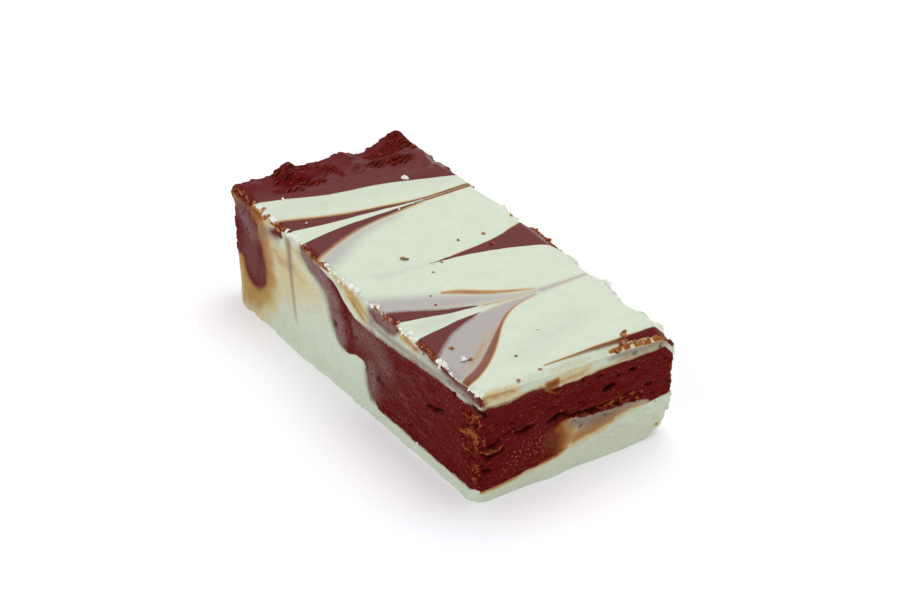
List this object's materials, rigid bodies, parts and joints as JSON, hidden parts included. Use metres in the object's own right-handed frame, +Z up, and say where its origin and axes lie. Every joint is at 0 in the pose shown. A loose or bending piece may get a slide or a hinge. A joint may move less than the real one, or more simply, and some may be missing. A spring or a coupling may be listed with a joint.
{
  "type": "mint chocolate fudge bar",
  "caption": "Free-standing cut bar of mint and chocolate swirl fudge, with a chocolate layer between pale mint layers and a craggy chocolate end.",
  "frame": {"origin": "on the surface the bar rests on, under the middle of its bounding box", "axes": "+X along the bar towards the near end, +Y across it from the cut side to the crumbly side, +Z up"},
  "size_m": [0.1036, 0.0524, 0.0298],
  "materials": {
    "mint_base": "cut mint fudge, pale grey green, dense and slightly waxy",
    "chocolate": "cut chocolate fudge, dark reddish brown, torn and pitted, matte",
    "mint_top": "poured mint fudge, pale green, smooth satin, with feathered chocolate marbling"
  },
  "bodies": {
    "root": {"mint_base": "mint_base", "chocolate_layer": "chocolate", "mint_top": "mint_top"}
  },
  "joints": []
}
